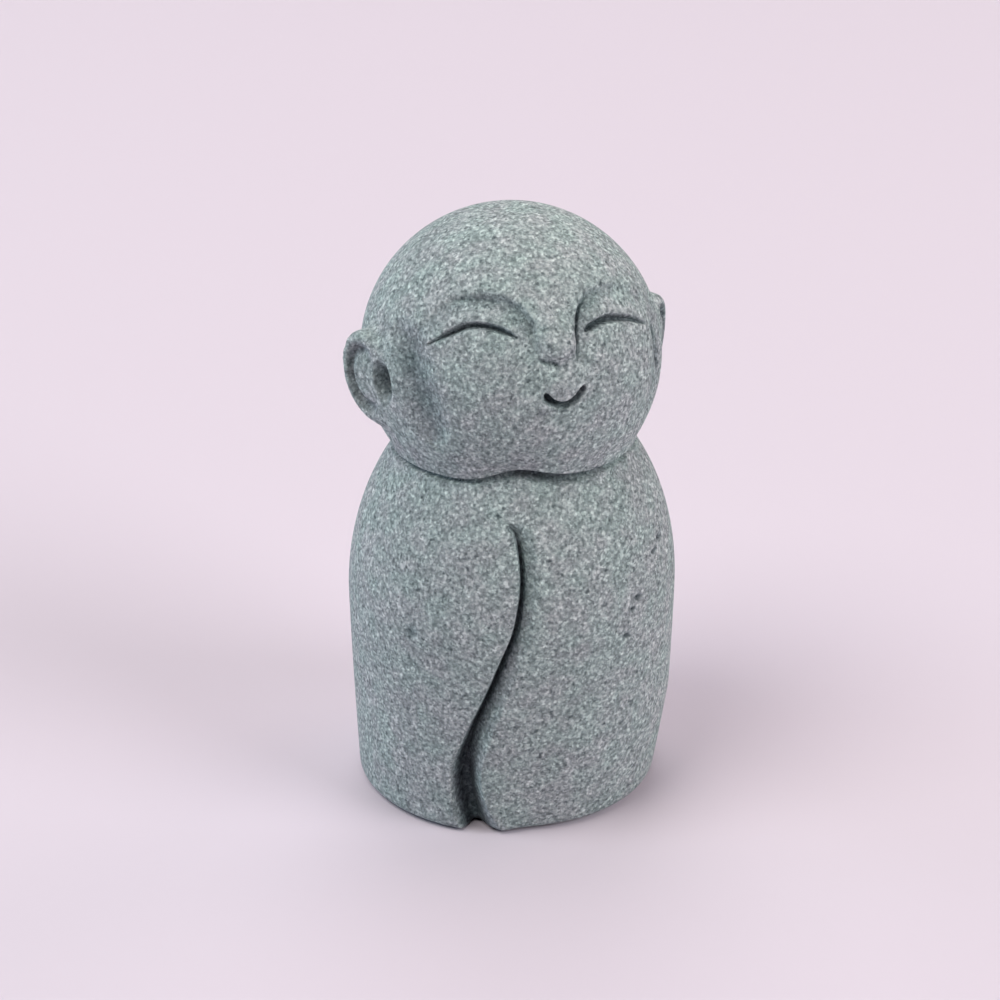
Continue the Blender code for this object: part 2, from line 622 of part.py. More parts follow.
def stone_material():
    material = bpy.data.materials.new("cast_stone")
    material.use_nodes = True
    shader = material.node_tree.nodes["Principled BSDF"]
    shader.inputs["Base Color"].default_value = STONE_COLOUR
    shader.inputs["Roughness"].default_value = STONE_ROUGHNESS
    shader.inputs["Metallic"].default_value = 0.0
    return material


def make_figure(collection):
    figure = bpy.data.objects.new("monk_figure", rough_block())
    collection.objects.link(figure)

    with_modifier(figure, "REMESH", mode="VOXEL", voxel_size=BLOCK_SPACING)
    put_vertices(figure.data, settle_sides(vertices_of(figure.data)))
    refine(figure.data)
    p = vertices_of(figure.data)
    put_vertices(figure.data, p - outward_of(p) * whole_depth(p)[:, None])

    # The carved mesh is made even, then thinned out where it is flat
    with_modifier(figure, "REMESH", mode="VOXEL", voxel_size=CARVED_SPACING)
    figure.data.calc_loop_triangles()
    share = TRIANGLES_BEFORE_CUT / len(figure.data.loop_triangles)
    with_modifier(figure, "DECIMATE", ratio=share, use_collapse_triangulate=True)
    cut_at_floor(figure.data)
    p = vertices_of(figure.data)
    put_vertices(figure.data, p - middle_of(p))

    figure.data.shade_smooth()
    figure.data.materials.clear()
    figure.data.materials.append(stone_material())
    return figure


def main():
    clear_scene()
    make_figure(new_collection("monk_statue"))


main()
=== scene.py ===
"""The looks of the small cast stone monk: its fine carving, its grain, the floor and the light.

The figure is built again from the same form as its solid, on a finer mesh, so that the thin
lines of the face and the robe's edge come out clean. It replaces the solid and keeps its box.
"""

import math

import bmesh
import bpy
import numpy as np
from mathutils import Matrix, Vector


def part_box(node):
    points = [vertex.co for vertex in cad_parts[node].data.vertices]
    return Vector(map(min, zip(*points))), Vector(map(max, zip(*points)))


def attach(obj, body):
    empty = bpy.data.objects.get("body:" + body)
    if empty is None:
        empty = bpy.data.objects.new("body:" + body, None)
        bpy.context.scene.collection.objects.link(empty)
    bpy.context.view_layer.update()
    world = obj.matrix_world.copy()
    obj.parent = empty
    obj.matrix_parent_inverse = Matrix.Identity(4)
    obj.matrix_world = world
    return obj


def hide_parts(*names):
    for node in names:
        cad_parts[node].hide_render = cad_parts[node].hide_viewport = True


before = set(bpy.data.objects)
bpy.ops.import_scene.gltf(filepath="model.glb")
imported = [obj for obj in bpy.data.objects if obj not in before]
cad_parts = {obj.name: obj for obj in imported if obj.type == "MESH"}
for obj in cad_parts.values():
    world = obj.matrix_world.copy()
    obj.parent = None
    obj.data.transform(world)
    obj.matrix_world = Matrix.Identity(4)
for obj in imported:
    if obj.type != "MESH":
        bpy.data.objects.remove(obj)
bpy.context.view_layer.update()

# The solid's height in metres, and the unit of the free form: one millimetre at this height
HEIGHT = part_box("monk_figure")[1].z
UNIT = HEIGHT / 65

# Robe: a dome over a drum that narrows a little to the hem
ROBE_HALF_WIDTH = 17.7 * UNIT
ROBE_HALF_DEPTH = 17.2 * UNIT
ROBE_WIDEST_Z = 23.0 * UNIT
ROBE_DOME_RISE = 24.0 * UNIT
ROBE_DOME_LEAN = 0.55 * UNIT
HEM_INSET = 0.9 * UNIT
HEM_INSET_CURVE = 1.3
HEM_ROUNDING = 1.3 * UNIT

# Left panel of the robe: its hem is worn in further than the right panel's
WORN_INSET = 1.2 * UNIT
WORN_HEIGHT = 11.0 * UNIT
WORN_CURVE = 1.05
WORN_FROM = math.radians(-14)
WORN_FULL = math.radians(6)
WORN_FADES = math.radians(105)
WORN_ENDS = math.radians(150)

# Head: a ball set back on the robe and turned to the figure's left
HEAD_RADIUS = 16.0 * UNIT
HEAD_SET_BACK = 2.0 * UNIT
HEAD_TURN = math.radians(16.5)
JOWL_SWELL = -0.35 * UNIT
CHIN_SWELL = 0.85 * UNIT
CHIN_BEARING = math.radians(-14)
JOWL_STARTS = math.radians(-8)
JOWL_FULL = math.radians(-32)
CHIN_NOTCH_DEPTH = 1.2 * UNIT
CHIN_NOTCH_BEARING = math.radians(-17)
CHIN_NOTCH_LIFT = math.radians(-34)
CHIN_NOTCH_SPREAD = math.radians(13)

# Crease under the chin, wider and deeper in front
NECK_BLEND = 1.6 * UNIT
CREASE_HALF_WIDTH = 0.42 * UNIT
CREASE_DEPTH = 0.60 * UNIT
CREASE_FRONT_WIDTH = 0.50 * UNIT
CREASE_FRONT_DEPTH = 0.65 * UNIT
CREASE_FRONT_BEARING = math.radians(11)
CREASE_FRONT_SPREAD = math.radians(24)

# Ears: thick oval discs that face forward and outward; -1 is the right ear and 1 the left,
# each at its own place out from the head's middle, forward and up
EAR_PLACE = {-1: (15.8 * UNIT, 0.9 * UNIT, 0.0), 1: (15.5 * UNIT, 0.9 * UNIT, 0.3 * UNIT)}
EAR_HALF_HEIGHT = {-1: 4.9 * UNIT, 1: 4.0 * UNIT}
EAR_HALF_WIDTH = 3.2 * UNIT
EAR_HALF_THICKNESS = 1.0 * UNIT
EAR_FACING = math.radians(51)
EAR_ROUNDING = 0.9 * UNIT
EAR_LEAN = 0.17
EAR_BLEND = 1.6 * UNIT

# The groove inside each ear's rim, as shares of the ear's size, and the hollow at its middle
EAR_INSIDE = 1.3
EAR_GROOVE_AT = 0.63
EAR_GROOVE_SPREAD = 0.13
EAR_GROOVE_STARTS = -0.5
EAR_GROOVE_FULL = 0.1
EAR_GROOVE_DEPTH = 0.75 * UNIT
EAR_HOLLOW_OUT = {-1: -2.6 * UNIT, 1: -1.6 * UNIT}
EAR_HOLLOW_LIFT = {-1: 0.4 * UNIT, 1: 0.6 * UNIT}
EAR_HOLLOW_HALF_WIDTH = {-1: 1.4 * UNIT, 1: 1.5 * UNIT}
EAR_HOLLOW_HALF_HEIGHT = {-1: 2.4 * UNIT, 1: 1.6 * UNIT}
EAR_HOLLOW_DEPTH = {-1: 2.0 * UNIT, 1: 1.9 * UNIT}
EAR_HOLLOW_EDGE = 1.1
EAR_HOLLOW_FLOOR = 0.2

# Nose: a bridge that widens and stands out down to its tip, over a base that runs to a point
NOSE_MIDDLE_U = -0.25 * UNIT
NOSE_HALF_WIDTH = 1.95 * UNIT
NOSE_ROOT_SHARE = 0.65
NOSE_EDGE = 0.6 * UNIT
NOSE_RIGHT_SOFTNESS = 2.0
NOSE_LEFT_SOFTNESS = 1.0
NOSE_HEIGHT = 1.05 * UNIT
NOSE_ROOT_W = 11.5 * UNIT
NOSE_TIP_W = 6.3 * UNIT
NOSE_BASE_W = 4.6 * UNIT
NOSE_BASE_SLANT = 0.45

# Upper lip: a small round mound inside the mouth
LIP_U = 0.4 * UNIT
LIP_W = 2.7 * UNIT
LIP_RADIUS = 1.9 * UNIT
LIP_HEIGHT = 0.45 * UNIT

# Strokes of the face: points (u, w) on the front of the head, u to the figure's left and
# w up from the head's middle
STROKE_TAPER = (0.12, 0.12)
FINE_TAPER = (0.3, 0.15)
TIP_WIDTH = 0.25
TIP_DEPTH = 0.15
RIGHT_EYE = ((-12.1, 6.2), (-10.2, 7.7), (-8.6, 8.6), (-7.1, 8.8), (-5.5, 8.5), (-4.0, 7.7))
RIGHT_EYE_TAPER = (0.25, 0.20)
LEFT_EYE = (
    (3.3, 7.6), (4.2, 8.0), (5.4, 8.2), (6.6, 8.1), (7.8, 7.7), (9.1, 7.2), (10.4, 6.4), (11.3, 5.7)
)
LEFT_EYE_TAPER = (0.10, 0.65)
LEFT_EYE_FULLER = 1.25
EYE_ABOVE = 0.32 * UNIT
EYE_BELOW = 0.76 * UNIT
EYE_DEPTH = 0.90 * UNIT
MOUTH = (
    (-1.9, 2.2), (-1.6, 1.5), (-1.1, 1.05), (-0.35, 0.75), (0.5, 0.8), (1.3, 1.25), (2.05, 1.95), (2.35, 2.5)
)
MOUTH_HALF_WIDTH = 0.50 * UNIT
MOUTH_FLOOR = 0.35
MOUTH_DEPTH = 1.30 * UNIT
NOSE_SIDE = ((4.2, 10.4), (3.35, 9.9), (2.85, 9.2), (2.45, 8.3), (2.2, 7.1), (2.0, 6.1), (1.75, 5.0))
NOSE_FOOT = ((-2.35, 5.7), (-1.8, 5.3), (-1.0, 5.1), (-0.3, 4.8))
BROW_EDGE = ((-9.7, 10.2), (-8.5, 10.7), (-7.3, 10.9), (-6.1, 11.0), (-5.1, 10.8))
EAR_FRONT = ((12.6, 5.1), (12.85, 4.3), (13.0, 3.4), (13.2, 2.5), (13.5, 1.4), (13.7, 0.2), (13.7, -0.8))
EAR_FRONT_TAPER = (0.1, 0.8)
EAR_FRONT_HALF_WIDTH = 1.0 * UNIT
EAR_FRONT_FLOOR = 0.3
EAR_FRONT_DEPTH = 1.1 * UNIT
FINE_HALF_WIDTH = 0.38 * UNIT
NOSE_SIDE_DEPTH = 0.50 * UNIT
NOSE_FOOT_DEPTH = 0.35 * UNIT
BROW_EDGE_DEPTH = 0.25 * UNIT
RIGHT_BROW = (
    (-13.4, 6.1), (-11.7, 8.1), (-9.4, 10.2), (-6.2, 11.1), (-3.8, 10.4), (-2.7, 8.9), (-2.8, 7.0),
    (-2.7, 4.7)
)
LEFT_BROW = (
    (12.4, 7.1), (10.6, 8.6), (8.6, 9.8), (5.3, 10.6), (3.7, 10.1), (2.8, 8.9), (2.4, 7.1), (2.4, 4.7)
)
BROW_DEPTH = 0.65 * UNIT
BROW_DEPTH_ALONG = ((0.0, 0.35), (0.2, 0.35), (0.55, 0.95), (0.7, 1.0), (0.85, 0.65), (1.0, 0.0))
BROW_NEAR_WIDTH = 0.7 * UNIT
BROW_FAR_WIDTH = 2.2 * UNIT
RIGHT_TEMPLE = (
    (-13.9, 7.0), (-13.6, 5.5), (-13.7, 3.6), (-13.5, 1.6), (-13.0, -0.5), (-12.3, -2.6), (-11.5, -4.4)
)
TEMPLE_TAPER = (0.3, 0.3)
TEMPLE_HALF_WIDTH = 3.6 * UNIT
TEMPLE_DEPTH = {-1: 0.95 * UNIT, 1: 0.45 * UNIT}
JOWL_LINE = ((-12.3, -4.2), (-11.7, -4.9), (-11.0, -5.3))
JOWL_LINE_HALF_WIDTH = 0.35 * UNIT
JOWL_LINE_DEPTH = 0.18 * UNIT

# The robe's open edge: points (x, z) on its front, where the right panel laps the left one
ROBE_EDGE = (
    (-1.2, 36.3), (-0.6, 35.9), (-0.2, 35.0), (0.1, 33.5), (0.25, 31.6), (0.2, 29.6), (-0.1, 27.6),
    (-0.5, 25.5), (-1.05, 23.8), (-1.95, 21.6), (-3.0, 18.9), (-4.1, 16.3), (-5.3, 13.6), (-6.2, 11.2),
    (-6.95, 9.0), (-7.25, 6.8), (-7.1, 4.4), (-6.7, 2.4), (-6.1, 0.0), (-5.6, -2.0)
)
# Its sizes by height, in units: the step's depth, the flat floor beside it, the step's own
# width, the width of the slope on the left panel, and the depth of the line along its foot
EDGE_DEPTH_AT_Z = (
    (0.0, 2.3), (3.0, 2.8), (8.0, 2.6), (12.0, 1.7), (16.0, 1.3), (24.0, 1.0), (34.0, 0.85), (36.0, 0.5),
    (37.0, 0.1)
)
EDGE_FLOOR_AT_Z = ((0.0, 1.0), (7.0, 0.9), (10.0, 0.5), (13.0, 0.1), (16.0, 0.0))
EDGE_LAP_WIDTH_AT_Z = ((0.0, 0.9), (7.0, 0.75), (11.0, 0.6), (16.0, 0.45))
EDGE_SLOPE_WIDTH_AT_Z = (
    (0.0, 4.3), (3.0, 3.4), (7.0, 3.0), (12.0, 2.4), (18.0, 2.0), (24.0, 1.8), (34.0, 1.9), (36.0, 1.5)
)
EDGE_LINE_DEPTH_AT_Z = ((7.0, 0.0), (10.0, 0.6), (18.0, 0.9), (34.0, 0.85), (35.7, 0.45), (36.6, 0.0))
EDGE_LINE_HALF_WIDTH = 0.55 * UNIT

# Small chips and one blemish on the robe: place, radius along, radius up and depth
CHIPS = (
    (15.2, -6.8, 31.1, 0.55, 0.26, 0.40), (14.5, -8.4, 30.2, 0.50, 0.24, 0.35),
    (12.7, -11.7, 26.5, 0.50, 0.28, 0.40), (12.1, -12.4, 25.4, 0.36, 0.24, 0.35),
    (11.5, -13.1, 22.6, 0.45, 0.28, 0.38), (-11.4, -13.1, 23.7, 0.75, 0.65, 0.22),
)

# Painted shade in the recesses, darker where the carving is deeper: how many times over the depth of a chip,
# of a line of the face and of the left ear's carving counts on top of the carved depth, and the depth that
# is darkest
CHIP_SHADE = 6.0
LINE_SHADE = 0.8
LEFT_EAR_SHADE = 2.0
DEPTH_OF_DARKEST_SHADE = 2.0 * UNIT

# Mesh: its spacing, and how far an edge may stray from the carved surface before it is split
BLOCK_SPACING = 0.42 * UNIT
BLOCK_FOOT = 3.0 * UNIT
FOOT_KEPT = 0.84 * UNIT
BALL_SEGMENTS = 64
BALL_RINGS = 40
DRUM_SEGMENTS = 96
EAR_BLOCK_HALF_THICKNESS = 1.2 * UNIT
BEND_ALLOWED = 0.012 * UNIT
REFINE_ROUNDS = 3
SHORTEST_EDGE = 0.10 * UNIT
SETTLE_STEPS = 5
LONGEST_STEP = 0.3 * UNIT
PROBE = 0.01 * UNIT
PIECES_PER_POINT = 5
STROKE_REACH = 3.5 * UNIT
TINY = 1e-9

# Stone: the sizes of its grains, given as how many fit across a unit of length, and the stops
# of its colours, from dark to pale
STONE_ROUGHNESS = 0.92
STONE_SHEEN = 0.3
GRAIN_SCALE = 2.2
GRAIN_DETAIL = 2.0
CELL_SCALE = 4.0
PIT_SCALE = 1.6
TINT_SCALE = 0.35
BROAD_DETAIL = 1.0
NOISE_ROUGHNESS = 0.5
GRAIN_STOPS = (
    (0.30, (0.17, 0.20, 0.205)),
    (0.42, (0.255, 0.29, 0.295)),
    (0.52, (0.31, 0.35, 0.355)),
    (0.68, (0.45, 0.49, 0.49)),
)
CELL_STOPS = (
    (0.15, (0.69, 0.70, 0.71)),
    (0.50, (0.98, 0.98, 0.98)),
    (0.62, (1.07, 1.07, 1.07)),
    (0.85, (1.48, 1.48, 1.46)),
)
PIT_STOPS = ((0.27, (0.50, 0.52, 0.54)), (0.36, (1.0, 1.0, 1.0)))
TINT_STOPS = ((0.35, (0.95, 1.02, 1.00)), (0.65, (1.03, 1.0, 1.02)))
# Painted shade: the stone's colour is multiplied darker the deeper the carving, from none to the darkest
PAINTED_SHADE_STOPS = (
    (0.0, (1.0, 1.0, 1.0)), (0.15, (0.84, 0.86, 0.87)), (0.45, (0.54, 0.57, 0.59)), (1.0, (0.24, 0.27, 0.29))
)
BUMP_STRENGTH = 0.6
BUMP_DISTANCE = 0.08 * UNIT

# Camera: the photograph's viewing angle, in metres and degrees
CAMERA_LIFT = math.radians(26.5)
CAMERA_BEARING = math.radians(-3)
CAMERA_DISTANCE = 0.38
CAMERA_LENS = 127.08
CAMERA_SENSOR = 36.0
CAMERA_ASIDE = 0.00118
CAMERA_DROP = 0.00027

# Floor and light
FLOOR_RADIUS = 4.0
FLOOR_SEGMENTS = 96
FLOOR_COLOUR = (0.66, 0.592, 0.666)
LIGHT_DISTANCE = 1.1
LIGHT_SIZE = 0.7
LIGHTS = (
    ("key", -150, 62, 7.1, (1.0, 0.99, 0.94)),
    ("top_back", 90, 62, 4.0, (1.0, 0.93, 0.93)),
    ("front_right", -30, 30, 7.5, (1.0, 1.0, 1.0)),
    ("right_back", 30, 30, 2.4, (1.0, 0.82, 0.76)),
    ("back", 90, 30, 1.3, (0.85, 1.0, 1.0)),
    ("left_back", 150, 30, 1.6, (0.95, 0.90, 1.0)),
    ("low_left", 180, 10, 5.0, (0.66, 0.85, 1.0)),
)


def ease(value, start, end):
    """0 at start and 1 at end, with a smooth run between them."""
    t = np.clip((value - start) / (end - start), 0.0, 1.0)
    return t * t * (3.0 - 2.0 * t)


def bell(value, spread):
    """1 at zero, falling smoothly to nothing at about twice the spread."""
    return np.exp(-((value / spread) ** 2))


def smooth_union(a, b, blend):
    """Two forms joined, with a smooth run between them."""
    share = np.clip(0.5 + 0.5 * (b - a) / blend, 0.0, 1.0)
    return b + (a - b) * share - blend * share * (1.0 - share)


def rounded_corner(a, b, radius):
    """Where two walls meet, kept inside both, with the corner between them rounded."""
    outside = np.hypot(np.maximum(a + radius, 0.0), np.maximum(b + radius, 0.0)) - radius
    return np.where((a > -radius) & (b > -radius), outside, np.maximum(a, b))


def oval(x, y, half_width, half_height):
    """Distance to an ellipse, near its edge."""
    scaled = np.hypot(x / half_width, y / half_height) + TINY
    slope = np.hypot(x / half_width**2, y / half_height**2) + TINY
    return scaled * (scaled - 1.0) / slope


def value_at(z, table):
    """A size that changes with height, from pairs of height and size in units."""
    heights, sizes = np.array(table).T * UNIT
    return np.interp(z, heights, sizes)


def smooth_path(points):
    """Points along a smooth curve through the given ones."""
    ends = np.vstack([2 * points[0] - points[1], points, 2 * points[-1] - points[-2]])
    places = np.linspace(0, len(points) - 1, (len(points) - 1) * PIECES_PER_POINT + 1)
    first = np.minimum(places.astype(int), len(points) - 2)
    t = (places - first)[:, None]
    a, b, c, d = (ends[first + k] for k in range(4))
    bend = (2 * a - 5 * b + 4 * c - d) * t**2 + (3 * b - a - 3 * c + d) * t**3
    return 0.5 * (2 * b + (c - a) * t + bend)


def along_stroke(p, outward, path):
    """For each point: its sideways distance from the path, positive on the path's own left
    as seen from outside, and the share of the path's length that lies before it."""
    close = np.all((p > path.min(axis=0) - STROKE_REACH) & (p < path.max(axis=0) + STROKE_REACH), axis=1)
    all_sideways = np.full(len(p), np.inf)
    all_share = np.zeros(len(p))
    p, outward = p[close], outward[close]
    nearest = np.full(len(p), np.inf)
    sideways = nearest.copy()
    share = np.zeros(len(p))
    pieces = len(path) - 1
    for number in range(pieces):
        start = path[number]
        run = path[number + 1] - start
        along = np.clip((p - start) @ run / (run @ run), 0.0, 1.0)
        offset = p - start - along[:, None] * run
        distance = np.linalg.norm(offset, axis=1)
        left = np.einsum("ij,ij->i", offset, np.cross(run, outward)) >= 0.0
        closer = distance < nearest
        nearest = np.where(closer, distance, nearest)
        sideways = np.where(closer, np.where(left, distance, -distance), sideways)
        share = np.where(closer, (number + along) / pieces, share)
    all_sideways[close] = sideways
    all_share[close] = share
    return all_sideways, all_share


def head_place(p):
    """The points in the head's own frame: u to its left, v forward and w up, from its middle."""
    x = p[:, 0]
    y = p[:, 1] - HEAD_SET_BACK
    w = p[:, 2] - (HEIGHT - HEAD_RADIUS)
    along, aside = math.cos(HEAD_TURN), math.sin(HEAD_TURN)
    return np.column_stack([x * along + y * aside, x * aside - y * along, w])


def on_head(points):
    """Points (u, w) in units, placed on the front of the ball."""
    u, w = np.array(points).T * UNIT
    v = np.sqrt(np.maximum(HEAD_RADIUS**2 - u**2 - w**2, 0.0))
    return np.column_stack([u, v, w])


def on_robe(points):
    """Points (x, z) in units, placed on the front of the drum."""
    x, z = np.array(points).T * UNIT
    return np.column_stack([x, -np.sqrt(ROBE_HALF_WIDTH**2 - x**2), z])


def along_head_stroke(q, points):
    """Each point's place along a stroke of the face, measured where the point lies on the ball."""
    outward = q / (np.linalg.norm(q, axis=1)[:, None] + TINY)
    return along_stroke(outward * HEAD_RADIUS, outward, smooth_path(points))


def robe_form(p):
    """Distance to the plain robe: its dome, and its drum worn in at the left panel's hem."""
    z = p[:, 2] - ROBE_WIDEST_Z
    x = p[:, 0] - ROBE_DOME_LEAN * np.clip(z / ROBE_DOME_RISE, 0.0, 1.0)
    y = p[:, 1] * ROBE_HALF_WIDTH / ROBE_HALF_DEPTH
    across = np.hypot(x, y)
    dome = oval(across, z, ROBE_HALF_WIDTH, ROBE_DOME_RISE)
    drop = np.clip(-z / ROBE_WIDEST_Z, 0.0, 1.0)
    drum = across - ROBE_HALF_WIDTH + HEM_INSET * drop**HEM_INSET_CURVE
    bearing = np.arctan2(p[:, 0], -p[:, 1])
    worn = ease(bearing, WORN_FROM, WORN_FULL) * ease(bearing, WORN_ENDS, WORN_FADES)
    low = np.clip(1.0 - np.maximum(p[:, 2], 0.0) / WORN_HEIGHT, 0.0, 1.0)
    return np.where(z > 0.0, dome, drum + WORN_INSET * worn * low**WORN_CURVE)


def ear_place(q, side):
    """A point's place on one ear: out along its face, up it, and forward out of it."""
    ear_out, ear_forward, ear_up = EAR_PLACE[side]
    u = q[:, 0] * side - ear_out
    v = q[:, 1] - ear_forward
    up = q[:, 2] - ear_up
    out = u * math.cos(EAR_FACING) - v * math.sin(EAR_FACING) - up * EAR_LEAN
    forward = u * math.sin(EAR_FACING) + v * math.cos(EAR_FACING)
    return out, up, forward


def ear_form(q, side):
    """Distance to one ear's plain disc."""
    out, up, forward = ear_place(q, side)
    outline = oval(out, up, EAR_HALF_WIDTH, EAR_HALF_HEIGHT[side])
    return rounded_corner(outline, np.abs(forward) - EAR_HALF_THICKNESS, EAR_ROUNDING)


def nose_height(q):
    """How far the bridge, the tip and the upper lip stand out from the ball."""
    u, v, w = q.T
    aside = np.abs(u - NOSE_MIDDLE_U)
    down = ease(w, NOSE_ROOT_W, NOSE_TIP_W)
    under = ease(w - NOSE_BASE_SLANT * aside, NOSE_BASE_W, NOSE_TIP_W)
    half_width = NOSE_HALF_WIDTH * (NOSE_ROOT_SHARE + (1.0 - NOSE_ROOT_SHARE) * down)
    softness = np.where(u > NOSE_MIDDLE_U, NOSE_LEFT_SOFTNESS, NOSE_RIGHT_SOFTNESS)
    bridge = down * under * ease(aside, half_width + NOSE_EDGE, half_width - softness * NOSE_EDGE)
    lip = bell(np.hypot(u - LIP_U, w - LIP_W), LIP_RADIUS)
    return np.where(v > 0.0, NOSE_HEIGHT * bridge + LIP_HEIGHT * lip, 0.0)


def ball_form(q):
    """The head without its ears: a ball, fuller at the jowls and notched over the robe's front."""
    u, v, w = q.T
    radius = np.linalg.norm(q, axis=1) + TINY
    lift = np.arcsin(w / radius)
    bearing = np.arctan2(u, v)
    full = ease(lift, JOWL_STARTS, JOWL_FULL) * (JOWL_SWELL + CHIN_SWELL * np.cos(bearing - CHIN_BEARING))
    notch = bell(bearing - CHIN_NOTCH_BEARING, CHIN_NOTCH_SPREAD)
    notch = notch * bell(lift - CHIN_NOTCH_LIFT, CHIN_NOTCH_SPREAD)
    return radius - HEAD_RADIUS - full + CHIN_NOTCH_DEPTH * notch - nose_height(q)


def head_form(q):
    """Distance to the head with both its ears, before it is carved."""
    head = ball_form(q)
    for side in (-1, 1):
        head = smooth_union(head, ear_form(q, side), EAR_BLEND)
    return head


def stroke_depth(sideways, share, widths, taper=STROKE_TAPER, floor=0.0):
    """1 along the middle of a stroke, 0 past its edges, narrowing to a point at both ends. The
    two widths are those on its left and right, and the floor the share of them that is flat."""
    ends = np.sqrt(np.clip(np.minimum(share / taper[0], (1.0 - share) / taper[1]), 0.0, 1.0))
    width = np.where(sideways > 0.0, *widths) * (TIP_WIDTH + (1.0 - TIP_WIDTH) * ends)
    return (TIP_DEPTH + (1.0 - TIP_DEPTH) * ends) * ease(np.abs(sideways), width, floor * width)


def face_lines(q):
    """How deep the eyes, the mouth, the fine lines of the nose and brow, and the cleft between
    the left cheek and ear are cut."""
    cut = np.zeros(len(q))
    eyes = ((RIGHT_EYE, RIGHT_EYE_TAPER, 1.0), (LEFT_EYE, LEFT_EYE_TAPER, LEFT_EYE_FULLER))
    for eye, taper, fuller in eyes:
        sideways, share = along_head_stroke(q, on_head(eye))
        lid = stroke_depth(sideways, share, (EYE_ABOVE * fuller, EYE_BELOW * fuller), taper)
        cut = np.maximum(cut, EYE_DEPTH * fuller * lid)
    fine_lines = ((NOSE_SIDE, NOSE_SIDE_DEPTH), (NOSE_FOOT, NOSE_FOOT_DEPTH), (BROW_EDGE, BROW_EDGE_DEPTH))
    for line, depth in fine_lines:
        sideways, share = along_head_stroke(q, on_head(line))
        cut = np.maximum(cut, depth * stroke_depth(sideways, share, (FINE_HALF_WIDTH,) * 2, FINE_TAPER))
    sideways, share = along_head_stroke(q, on_head(MOUTH))
    smile = stroke_depth(sideways, share, (MOUTH_HALF_WIDTH,) * 2, floor=MOUTH_FLOOR)
    cut = np.maximum(cut, MOUTH_DEPTH * smile)
    sideways, share = along_head_stroke(q, on_head(EAR_FRONT))
    cleft = stroke_depth(sideways, share, (EAR_FRONT_HALF_WIDTH,) * 2, EAR_FRONT_TAPER, EAR_FRONT_FLOOR)
    return np.maximum(cut, EAR_FRONT_DEPTH * cleft)


def face_carving(q):
    """How deep the lines, the fold on the jowl and the hollows by brows and temples are cut."""
    cut = face_lines(q)
    sideways, share = along_head_stroke(q, on_head(JOWL_LINE))
    line = stroke_depth(sideways, share, (JOWL_LINE_HALF_WIDTH,) * 2)
    cut = np.maximum(cut, JOWL_LINE_DEPTH * line)
    for brow, nose_side in ((RIGHT_BROW, 1.0), (LEFT_BROW, -1.0)):
        sideways, share = along_head_stroke(q, on_head(brow))
        depth = stroke_depth(sideways * nose_side, share, (BROW_NEAR_WIDTH, BROW_FAR_WIDTH))
        cut = cut + BROW_DEPTH * np.interp(share, *np.array(BROW_DEPTH_ALONG).T) * depth
    for side in (-1, 1):
        temple = on_head(RIGHT_TEMPLE) * (-side, 1, 1)
        sideways, share = along_head_stroke(q, temple)
        hollow = stroke_depth(sideways, share, (TEMPLE_HALF_WIDTH,) * 2, TEMPLE_TAPER)
        cut = cut + TEMPLE_DEPTH[side] * hollow
    return cut


def ear_carving(q):
    """The groove inside each ear's rim, and the hollow at its middle."""
    cut = np.zeros(len(q))
    for side in (-1, 1):
        out, up, forward = ear_place(q, side)
        rim = np.hypot(out / EAR_HALF_WIDTH, up / EAR_HALF_HEIGHT[side])
        outer = ease(out / EAR_HALF_WIDTH, EAR_GROOVE_STARTS, EAR_GROOVE_FULL)
        groove = EAR_GROOVE_DEPTH * bell(rim - EAR_GROOVE_AT, EAR_GROOVE_SPREAD) * outer
        hollow_out = (out - EAR_HOLLOW_OUT[side]) / EAR_HOLLOW_HALF_WIDTH[side]
        hollow_up = (up - EAR_HOLLOW_LIFT[side]) / EAR_HOLLOW_HALF_HEIGHT[side]
        hollow = ease(np.hypot(hollow_out, hollow_up), EAR_HOLLOW_EDGE, EAR_HOLLOW_FLOOR)
        inside = (forward > 0.0) & (rim < EAR_INSIDE)
        cut = cut + np.where(inside, np.maximum(groove, EAR_HOLLOW_DEPTH[side] * hollow), 0.0)
    return cut


def robe_carving(p):
    """The step and slope where one panel of the robe laps the other."""
    across = np.hypot(p[:, 0], p[:, 1]) + TINY
    outward = np.column_stack([p[:, 0] / across, p[:, 1] / across, np.zeros(len(p))])
    on_drum = outward * ROBE_HALF_WIDTH
    on_drum[:, 2] = p[:, 2]
    sideways, _ = along_stroke(on_drum, outward, smooth_path(on_robe(ROBE_EDGE)))
    z = p[:, 2]
    floor = value_at(z, EDGE_FLOOR_AT_Z)
    slope_width = value_at(z, EDGE_SLOPE_WIDTH_AT_Z)
    lap = ease(sideways, value_at(z, EDGE_LAP_WIDTH_AT_Z), 0.0)
    slope = np.clip((slope_width + sideways) / (slope_width - floor), 0.0, 1.0)
    line = value_at(z, EDGE_LINE_DEPTH_AT_Z) * ease(np.abs(sideways), EDGE_LINE_HALF_WIDTH, 0.0)
    return value_at(z, EDGE_DEPTH_AT_Z) * np.where(sideways > 0.0, lap, slope) + line


def base_form(p):
    """Distance to the uncarved figure, less than zero inside it."""
    return smooth_union(robe_form(p), head_form(head_place(p)), NECK_BLEND)


def carving(p):
    """How far the carving takes the surface in, at each point."""
    q = head_place(p)
    robe, head = robe_form(p), head_form(q)
    bearing = np.arctan2(p[:, 0], -p[:, 1])
    front = bell(bearing - CREASE_FRONT_BEARING, CREASE_FRONT_SPREAD)
    width = CREASE_HALF_WIDTH + CREASE_FRONT_WIDTH * front
    crease = (CREASE_DEPTH + CREASE_FRONT_DEPTH * front) * ease(np.abs(robe - head), width, 0.0)
    on_head_side = head < robe
    cut = np.zeros(len(p))
    cut[on_head_side] = face_carving(q[on_head_side]) + ear_carving(q[on_head_side])
    on_front = ~on_head_side & (p[:, 1] < 0.0)
    cut[on_front] = robe_carving(p[on_front])
    return cut + crease


